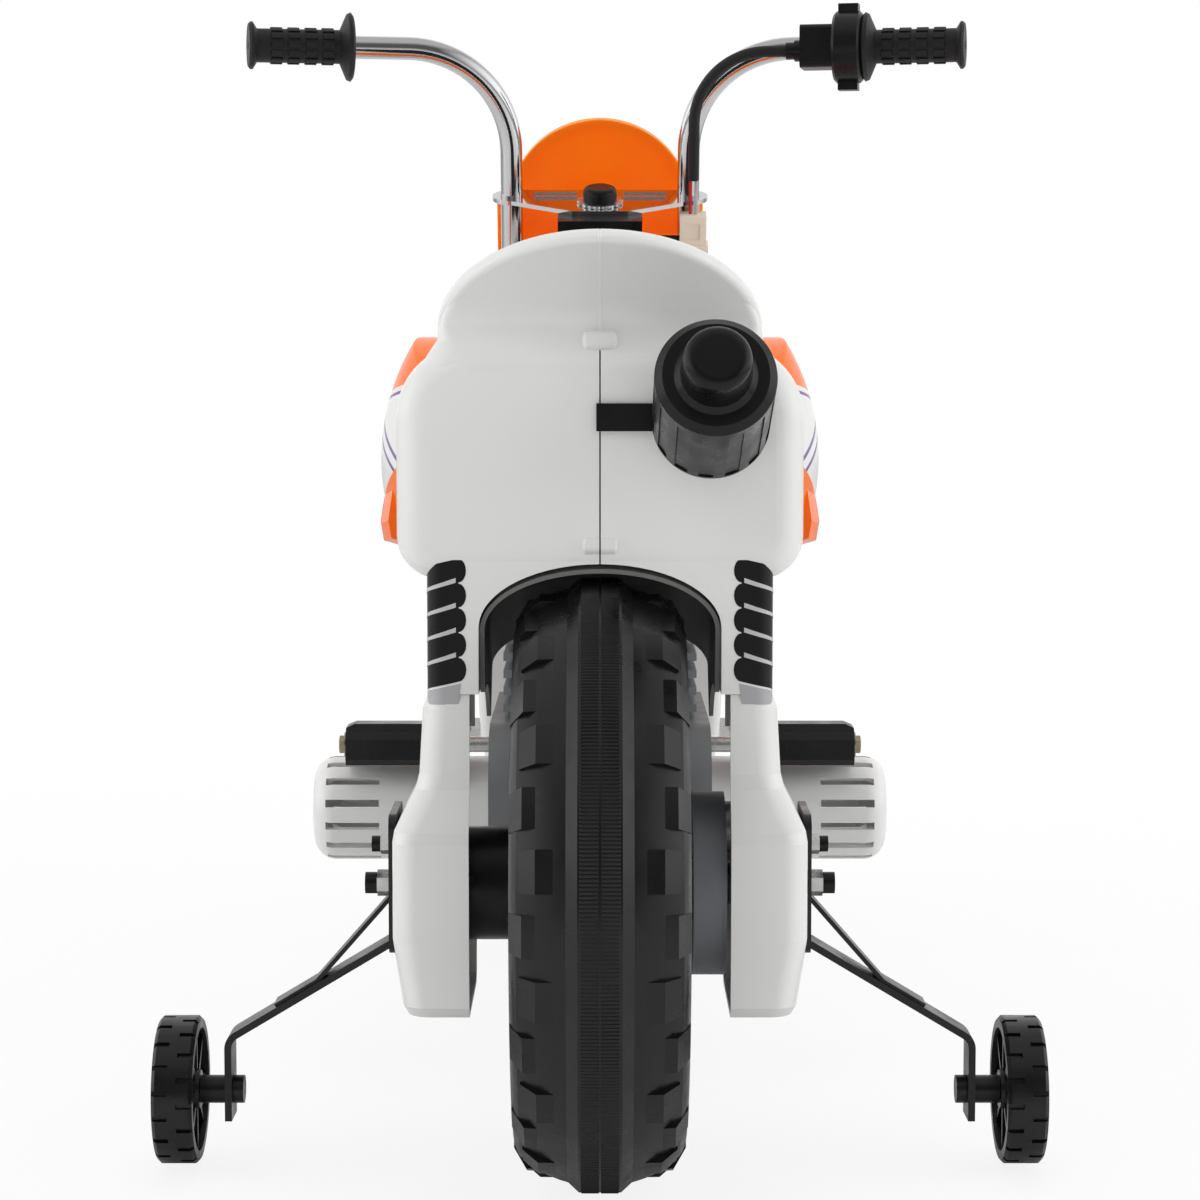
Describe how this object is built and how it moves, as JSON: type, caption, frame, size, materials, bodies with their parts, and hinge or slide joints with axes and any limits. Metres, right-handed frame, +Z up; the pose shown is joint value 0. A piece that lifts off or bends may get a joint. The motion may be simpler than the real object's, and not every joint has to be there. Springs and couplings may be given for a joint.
{
  "type": "children's electric motorbike",
  "caption": "Children's ride-on electric motorbike in white and orange plastic with bent chrome handlebars, twist throttle, knobbly road wheels and outrigger training wheels.",
  "frame": {"origin": "middle of the overall box on the ground", "axes": "+Z up, +Y the way it rides, +X the rider's right"},
  "size_m": [0.5096, 1.02, 0.709],
  "materials": {
    "white_plastic": "satin",
    "orange_plastic": "glossy",
    "black_plastic": "satin",
    "tyre_plastic": "satin",
    "rim_plastic": "satin",
    "chrome_tube": "polished",
    "black_steel": "satin",
    "zinc_steel": "satin",
    "brass_steel": "satin",
    "grey_plastic": "satin",
    "rubber": "matte",
    "ivory_plastic": "satin",
    "motor_steel": "satin",
    "battery_plastic": "matte",
    "red_plastic": "glossy"
  },
  "bodies": {
    "chassis": {"body_left": "white_plastic", "body_right": "white_plastic", "inner_mudguard": "rim_plastic", "seat": "black_plastic", "shroud_left": "orange_plastic", "shroud_right": "orange_plastic", "main_frame": "black_steel", "leg_cover_left": "white_plastic", "leg_cover_right": "white_plastic", "engine_block": "grey_plastic", "engine_cover_left": "white_plastic", "engine_cover_right": "white_plastic", "foot_peg_bar": "zinc_steel", "foot_peg_left": "black_plastic", "foot_peg_right": "black_plastic", "peg_bolts": "brass_steel", "muffler": "black_plastic", "muffler_bar": "black_plastic", "rear_axle": "zinc_steel", "axle_spacer": "black_plastic", "fixing_nuts": "zinc_steel", "nut_caps": "black_plastic", "gearbox_case": "grey_plastic", "gearbox_cover": "grey_plastic", "drive_motor": "motor_steel", "battery": "battery_plastic", "control_box": "black_plastic", "charge_socket": "black_plastic", "training_bracket_left": "black_steel", "training_bracket_right": "black_steel", "training_axles": "black_steel"},
    "steering": {"handlebar_left": "chrome_tube", "handlebar_right": "chrome_tube", "upper_clamp": "chrome_tube", "lower_clamp": "black_steel", "steering_stem": "zinc_steel", "stem_knob": "black_plastic", "dash_panel": "black_plastic", "number_plate": "orange_plastic", "front_fender": "orange_plastic", "fork_leg_left": "white_plastic", "fork_leg_right": "white_plastic", "front_axle": "zinc_steel", "left_grip": "rubber", "throttle_housing": "black_plastic", "throttle_cable": "rubber", "cable_connector": "ivory_plastic"},
    "front_wheel": {"front_tyre": "tyre_plastic", "front_rim": "rim_plastic"},
    "rear_wheel": {"rear_tyre": "tyre_plastic", "rear_rim": "rim_plastic", "output_gear": "ivory_plastic"},
    "idler": {"idler_gear": "ivory_plastic"},
    "pinion": {"motor_pinion": "ivory_plastic"},
    "small_wheel_left": {"training_wheel_left": "tyre_plastic"},
    "small_wheel_right": {"training_wheel_right": "tyre_plastic"},
    "twist_grip": {"throttle_grip": "rubber"},
    "power_key": {"power_button": "red_plastic"},
    "direction_rocker": {"direction_switch": "black_plastic"}
  },
  "joints": [
    {"name": "steering_turn", "type": "hinge", "parent": "chassis", "child": "steering", "pos_m": [0, 0.19996, 0.50213], "axis": [0, -0.342, 0.9397], "range_deg": [-35, 35]},
    {"name": "front_wheel_spin", "type": "hinge", "parent": "steering", "child": "front_wheel", "pos_m": [0, 0.34, 0.17], "axis": [1, 0, 0], "continuous": true},
    {"name": "rear_wheel_spin", "type": "hinge", "parent": "chassis", "child": "rear_wheel", "pos_m": [0, -0.34, 0.17], "axis": [1, 0, 0], "continuous": true},
    {"name": "idler_spin", "type": "hinge", "parent": "chassis", "child": "idler", "pos_m": [0.06, -0.33124, 0.2015], "axis": [1, 0, 0], "continuous": true},
    {"name": "pinion_spin", "type": "hinge", "parent": "chassis", "child": "pinion", "pos_m": [0.063, -0.35231, 0.20383], "axis": [1, 0, 0], "continuous": true},
    {"name": "small_wheel_left_spin", "type": "hinge", "parent": "chassis", "child": "small_wheel_left", "pos_m": [-0.247, -0.305, 0.044], "axis": [1, 0, 0], "continuous": true},
    {"name": "small_wheel_right_spin", "type": "hinge", "parent": "chassis", "child": "small_wheel_right", "pos_m": [0.247, -0.305, 0.044], "axis": [1, 0, 0], "continuous": true},
    {"name": "throttle_twist", "type": "hinge", "parent": "steering", "child": "twist_grip", "pos_m": [0.185, 0.13011, 0.67903], "axis": [0.9799, -0.1994, 0], "range_deg": [0, 55], "stiffness_Nm_per_rad": 0.25},
    {"name": "power_press", "type": "slide", "parent": "steering", "child": "power_key", "axis": [0, 0.9397, 0.342], "range_m": [0, 0.002], "stiffness_N_per_m": 400},
    {"name": "direction_rock", "type": "hinge", "parent": "steering", "child": "direction_rocker", "pos_m": [0.013, 0.15005, 0.54569], "axis": [0, -0.342, 0.9397], "range_deg": [-8, 8]}
  ],
  "couplings": [
    {"joint": "idler_spin", "follows": "rear_wheel_spin", "ratio": -2.8235},
    {"joint": "pinion_spin", "follows": "rear_wheel_spin", "ratio": 5.6471}
  ]
}
